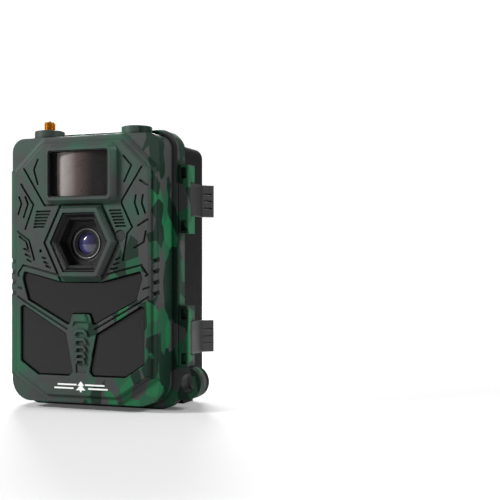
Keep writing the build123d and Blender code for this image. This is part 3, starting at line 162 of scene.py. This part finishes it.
def camouflage():
    """Moulded plastic in soft grey-greens, printed with angular patches, each patch one flat colour."""
    material, tree, shader = new_material("camo_shell")
    link = tree.links.new
    place, _ = grain(tree, shader, SHELL_GRAIN, 0.2, rounding=SHELL_ROUNDING)
    # the ground colour drifts slowly between grey-green, green and grey-brown
    drift = add(tree, "ShaderNodeTexNoise", scale=30.0, detail=2.0)
    ground = ramp(tree, [(0.32, GREY_GREEN), (0.44, GREY_BROWN), (0.54, GREY_GREEN), (0.66, FIELD_GREEN)])
    # slow noise, read at the centre of each straight-edged cell, so that its contours turn angular
    stretch = tree.nodes.new("ShaderNodeMapping")
    stretch.inputs["Scale"].default_value = (1.0, 1.0, 0.62)
    stretch.inputs["Rotation"].default_value = (0.0, math.radians(24), 0.0)
    cells = add(tree, "ShaderNodeTexVoronoi", scale=CAMO_CELLS, randomness=0.85)
    hue = add(tree, "ShaderNodeTexNoise", scale=58.0, detail=0.0)
    hues = ramp(tree, [
        (0.0, GREY_BROWN),
        (0.37, DARK_GREEN),
        (0.46, FERN_GREEN),
        (0.535, DARK_GREEN),
        (0.575, BRIGHT_GREEN),
        (0.63, GREY_BROWN),
    ], constant=True)
    spread = add(tree, "ShaderNodeTexNoise", scale=24.0, detail=0.0)
    chance = tree.nodes.new("ShaderNodeMath")
    chance.operation = "ADD"
    mask = ramp(tree, [(0.0, (0, 0, 0)), (PATCH_START, (1, 1, 1))], constant=True)
    half = tree.nodes.new("ShaderNodeMath")
    half.operation = "MULTIPLY"
    half.inputs[1].default_value = 0.5
    link(place.outputs["Object"], drift.inputs["Vector"])
    link(drift.outputs["Fac"], ground.inputs["Fac"])
    link(place.outputs["Object"], stretch.inputs["Vector"])
    link(stretch.outputs["Vector"], cells.inputs["Vector"])
    link(cells.outputs["Position"], hue.inputs["Vector"])
    link(cells.outputs["Position"], spread.inputs["Vector"])
    link(hue.outputs["Fac"], hues.inputs["Fac"])
    link(spread.outputs["Fac"], chance.inputs[0])
    link(patchiness(tree, place.outputs["Object"]), chance.inputs[1])
    link(chance.outputs["Value"], half.inputs[0])
    link(half.outputs["Value"], mask.inputs["Fac"])
    printed = mix(tree, mask.outputs["Color"], ground.outputs["Color"], hues.outputs["Color"])
    # base colour with painted shade in grooves and inner corners
    link(painted_crevice_shade(tree, printed, SHELL_SHADE_REACH), shader.inputs["Base Color"])
    link(vary(tree, place, 120.0, 0.42, 0.52), shader.inputs["Roughness"])
    shader.inputs["Specular IOR Level"].default_value = 0.14
    return material


def plastic(name, colour, low, high, fine=2400.0, strength=0.3, shine=0.5):
    """Plain moulded plastic with a fine grain and slightly uneven gloss."""
    material, tree, shader = new_material(name)
    place, noise = grain(tree, shader, fine, strength, rounding=PART_ROUNDING)
    tone = ramp(tree, [(0.3, tuple(c * 0.85 for c in colour)), (0.7, tuple(c * 1.12 for c in colour))])
    tree.links.new(noise.outputs["Fac"], tone.inputs["Fac"])
    # base colour with painted shade in grooves and inner corners
    tree.links.new(painted_crevice_shade(tree, tone.outputs["Color"], PART_SHADE_REACH, 0.4), shader.inputs["Base Color"])
    tree.links.new(vary(tree, place, 150.0, low, high), shader.inputs["Roughness"])
    shader.inputs["Specular IOR Level"].default_value = shine
    return material


def metal(name, colour, low, high, fine=900.0, strength=0.15):
    """Metal with fine drawn or plated texture."""
    material, tree, shader = new_material(name)
    place, _ = grain(tree, shader, fine, strength)
    shader.inputs["Metallic"].default_value = 1.0
    shader.inputs["Base Color"].default_value = (*colour, 1.0)
    tree.links.new(vary(tree, place, 300.0, low, high), shader.inputs["Roughness"])
    return material


def fresnel_lens():
    """Smoked polyethylene in front of the motion sensor, with a painted reflection: pale on the left and
    brown-black on the right.
    """
    material, tree, shader = new_material("fresnel")
    place = tree.nodes.new("ShaderNodeTexCoord")
    split = tree.nodes.new("ShaderNodeSeparateXYZ")
    painted_reflection_across = tree.nodes.new("ShaderNodeMapRange")
    painted_reflection_across.inputs["From Min"].default_value = -FRESNEL_HALF
    painted_reflection_across.inputs["From Max"].default_value = FRESNEL_HALF
    # painted reflection, fixed on the lens: pale on the left, brown-black on the right
    tone = ramp(tree, [
        (0.0, srgb(112, 106, 104)),
        (0.15, srgb(128, 121, 118)),
        (0.45, srgb(62, 49, 46)),
        (0.75, srgb(26, 20, 20)),
        (1.0, srgb(30, 29, 28)),
    ])
    tree.links.new(place.outputs["Object"], split.inputs["Vector"])
    tree.links.new(split.outputs["X"], painted_reflection_across.inputs["Value"])
    tree.links.new(painted_reflection_across.outputs["Result"], tone.inputs["Fac"])
    tree.links.new(tone.outputs["Color"], shader.inputs["Base Color"])
    tree.links.new(vary(tree, place, 150.0, 0.24, 0.32), shader.inputs["Roughness"])
    return material


def lens_glass():
    """Front element: dark glass with a violet-blue coating, whose violet reflection is painted into the
    colour and changes with the viewing angle.
    """
    material, tree, shader = new_material("glass")
    # painted reflection: the coating's violet glint is a base colour that changes with the viewing angle
    facing = add(tree, "ShaderNodeLayerWeight", blend=0.35)
    tone = ramp(tree, [
        (0.0, srgb(34, 32, 62)),
        (0.3, srgb(72, 70, 122)),
        (0.7, srgb(88, 78, 118)),
        (1.0, srgb(40, 36, 54)),
    ])
    place, _ = grain(tree, shader, 300.0, 0.01)
    tree.links.new(facing.outputs["Facing"], tone.inputs["Fac"])
    tree.links.new(tone.outputs["Color"], shader.inputs["Base Color"])
    tree.links.new(vary(tree, place, 200.0, 0.14, 0.2), shader.inputs["Roughness"])
    shader.inputs["Specular IOR Level"].default_value = 0.9
    return material


def clear(name, colour, roughness=0.05):
    """Clear plastic or glass."""
    material, tree, shader = new_material(name)
    grain(tree, shader, 500.0, 0.02)
    shader.inputs["Base Color"].default_value = (*colour, 1.0)
    shader.inputs["Transmission Weight"].default_value = 0.9
    shader.inputs["Roughness"].default_value = roughness
    return material


def circuit_board():
    """Green solder mask with paler copper tracks under it."""
    material, tree, shader = new_material("board")
    place, _ = grain(tree, shader, 1500.0, 0.1)
    tracks = add(tree, "ShaderNodeTexBrick", scale=260.0)
    tracks.inputs["Color1"].default_value = (*srgb(14, 84, 48), 1.0)
    tracks.inputs["Color2"].default_value = (*srgb(18, 94, 54), 1.0)
    tracks.inputs["Mortar"].default_value = (*srgb(34, 120, 70), 1.0)
    tree.links.new(place.outputs["Object"], tracks.inputs["Vector"])
    tree.links.new(tracks.outputs["Color"], shader.inputs["Base Color"])
    shader.inputs["Roughness"].default_value = 0.35
    return material


LOOKS = {
    "camo_shell": camouflage(),
    "black_shell": plastic("black_shell", srgb(13, 13, 14), 0.46, 0.56, shine=0.06),
    "lens_bezel": plastic("lens_bezel", srgb(15, 16, 16), 0.32, 0.4, strength=0.15, shine=0.3),
    "lamp_window": plastic(
        "lamp_window", srgb(20, 20, 21), 0.28, 0.34, fine=1200.0, strength=0.04, shine=0.3
    ),
    "fresnel": fresnel_lens(),
    "lens_trim": plastic("lens_trim", srgb(120, 118, 120), 0.25, 0.32, strength=0.1),
    "glass": lens_glass(),
    "gold": metal("gold", srgb(205, 128, 22), 0.2, 0.3),
    "insert": metal("insert", srgb(176, 140, 80), 0.25, 0.34),
    "steel": metal("steel", srgb(150, 150, 154), 0.25, 0.35),
    "rubber": plastic("rubber", srgb(26, 26, 26), 0.65, 0.75, fine=1800.0),
    "key_rubber": plastic("key_rubber", srgb(120, 122, 124), 0.55, 0.65, fine=1800.0),
    "board": circuit_board(),
    "shield": metal("shield", srgb(172, 172, 174), 0.3, 0.42),
    "inner_cover": plastic("inner_cover", srgb(42, 43, 45), 0.5, 0.6, fine=1500.0, strength=0.5),
    "screen": plastic("screen", srgb(10, 11, 16), 0.08, 0.12, strength=0.02),
    "screen_window": clear("screen_window", (0.92, 0.94, 0.96)),
    "lamps": clear("lamps", (0.9, 0.93, 1.0), 0.08),
    "sensor": plastic("sensor", srgb(46, 50, 47), 0.2, 0.28, strength=0.05),
    "cells": plastic("cells", srgb(40, 74, 58), 0.28, 0.36, strength=0.05),
    "contacts": metal("contacts", srgb(190, 188, 184), 0.18, 0.28),
    "card": plastic("card", srgb(22, 26, 38), 0.3, 0.4),
    "latch": plastic("latch", srgb(34, 34, 35), 0.3, 0.36, shine=0.55),
    "print": plastic("print", srgb(226, 228, 226), 0.45, 0.55, strength=0.05),
}
# the latch levers share the shell's slot, but they are smoother and shinier
for part in frame["record"]["subparts"]:
    mesh = NODES[part["node"]].data
    mesh.materials.clear()
    look = "latch" if part["node"].startswith("latch_lever") else part["material_slot"]
    mesh.materials.append(LOOKS[look])


# ---- stage, lights and camera ----
FLOOR_REACH = 12.0
FLOOR_TONE = 0.5
FLOOR_GLOW = 0.08
STUDIO_DIM = 0.18
BACKDROP_WHITE = 1.05
BACKDROP_INNER = 21
BACKDROP_OUTER = 40
CAMERA_YAW = 20.13
CAMERA_PLACE = (0.2677, -0.5103, 0.0774)
CAMERA_LENS = 69.07
CAMERA_SHIFT = 0.039
# name, place and side in metres, power in watts
LAMPS = [
    ("key", (-1.2, -0.92, 0.85), 0.36, 42),
    ("side", (1.1, -0.02, 0.8), 0.4, 15),
    ("top", (0.1, 0.1, 1.5), 1.0, 3),
    ("rear", (-0.7, 1.2, 0.9), 0.6, 40),
]


def backdrop(tree, direction, dim, white):
    """Brightness of the studio in a direction: white behind the object in the main view, dim elsewhere."""
    unit = tree.nodes.new("ShaderNodeVectorMath")
    unit.operation = "NORMALIZE"
    towards = tree.nodes.new("ShaderNodeVectorMath")
    towards.operation = "DOT_PRODUCT"
    yaw = math.radians(CAMERA_YAW)
    towards.inputs[1].default_value = (-math.sin(yaw), math.cos(yaw), 0.0)
    spread = tree.nodes.new("ShaderNodeMapRange")
    spread.interpolation_type = "SMOOTHSTEP"
    spread.inputs["From Min"].default_value = math.cos(math.radians(BACKDROP_OUTER))
    spread.inputs["From Max"].default_value = math.cos(math.radians(BACKDROP_INNER))
    spread.inputs["To Min"].default_value = dim
    spread.inputs["To Max"].default_value = white
    tree.links.new(direction, unit.inputs[0])
    tree.links.new(unit.outputs["Vector"], towards.inputs[0])
    tree.links.new(towards.outputs["Value"], spread.inputs["Value"])
    return spread.outputs["Result"]


def floor():
    """A wide white floor that glows towards the backdrop, so that the two meet without a line."""
    mesh = bpy.data.meshes.new("floor")
    corners = [(x * FLOOR_REACH, y * FLOOR_REACH, 0.0) for x, y in ((-1, -1), (1, -1), (1, 1), (-1, 1))]
    mesh.from_pydata(corners, [], [(0, 1, 2, 3)])
    sheet = bpy.data.objects.new("floor", mesh)
    bpy.context.collection.objects.link(sheet)
    material, tree, shader = new_material("floor")
    place = tree.nodes.new("ShaderNodeTexCoord")
    reach = tree.nodes.new("ShaderNodeVectorMath")
    reach.operation = "LENGTH"
    fade = tree.nodes.new("ShaderNodeMapRange")
    fade.inputs["From Min"].default_value = 0.3
    fade.inputs["From Max"].default_value = 2.0
    glow = tree.nodes.new("ShaderNodeMix")
    glow.inputs["A"].default_value = FLOOR_GLOW
    tree.links.new(place.outputs["Object"], reach.inputs[0])
    tree.links.new(reach.outputs["Value"], fade.inputs["Value"])
    tree.links.new(fade.outputs["Result"], glow.inputs["Factor"])
    tree.links.new(backdrop(tree, place.outputs["Object"], STUDIO_DIM, 1.0), glow.inputs["B"])
    tree.links.new(glow.outputs["Result"], shader.inputs["Emission Strength"])
    shader.inputs["Base Color"].default_value = (FLOOR_TONE, FLOOR_TONE, FLOOR_TONE, 1.0)
    shader.inputs["Emission Color"].default_value = (1.0, 1.0, 1.0, 1.0)
    shader.inputs["Roughness"].default_value = 0.8
    shader.inputs["Specular IOR Level"].default_value = 0.2
    mesh.materials.append(material)


def softbox(name, place, target, size, power):
    """A square soft light aimed at a point."""
    data = bpy.data.lights.new(name, "AREA")
    data.size = size
    data.energy = power
    lamp = bpy.data.objects.new(name, data)
    lamp.location = place
    lamp.rotation_euler = (Vector(target) - Vector(place)).to_track_quat("-Z", "Y").to_euler()
    bpy.context.collection.objects.link(lamp)


floor()
middle = Vector((0.0, -0.015, 0.075))
for name, place, size, power in LAMPS:
    softbox(name, place, middle, size, power)

world = bpy.data.worlds.new("studio")
world.use_nodes = True
sky = world.node_tree
direction = sky.nodes.new("ShaderNodeTexCoord")
glow = sky.nodes["Background"]
glow.inputs["Color"].default_value = (1.0, 1.0, 1.0, 1.0)
strength = backdrop(sky, direction.outputs["Generated"], STUDIO_DIM, BACKDROP_WHITE)
sky.links.new(strength, glow.inputs["Strength"])
scene = bpy.context.scene
scene.world = world
scene.view_settings.view_transform = "Standard"

camera_data = bpy.data.cameras.new("camera")
camera_data.sensor_width = 36.0
camera_data.lens = CAMERA_LENS
camera_data.shift_y = CAMERA_SHIFT
camera_data.clip_start = 0.01
camera = bpy.data.objects.new("camera", camera_data)
camera.location = CAMERA_PLACE
camera.rotation_euler = (math.radians(90), 0.0, math.radians(CAMERA_YAW))
bpy.context.collection.objects.link(camera)
scene.camera = camera
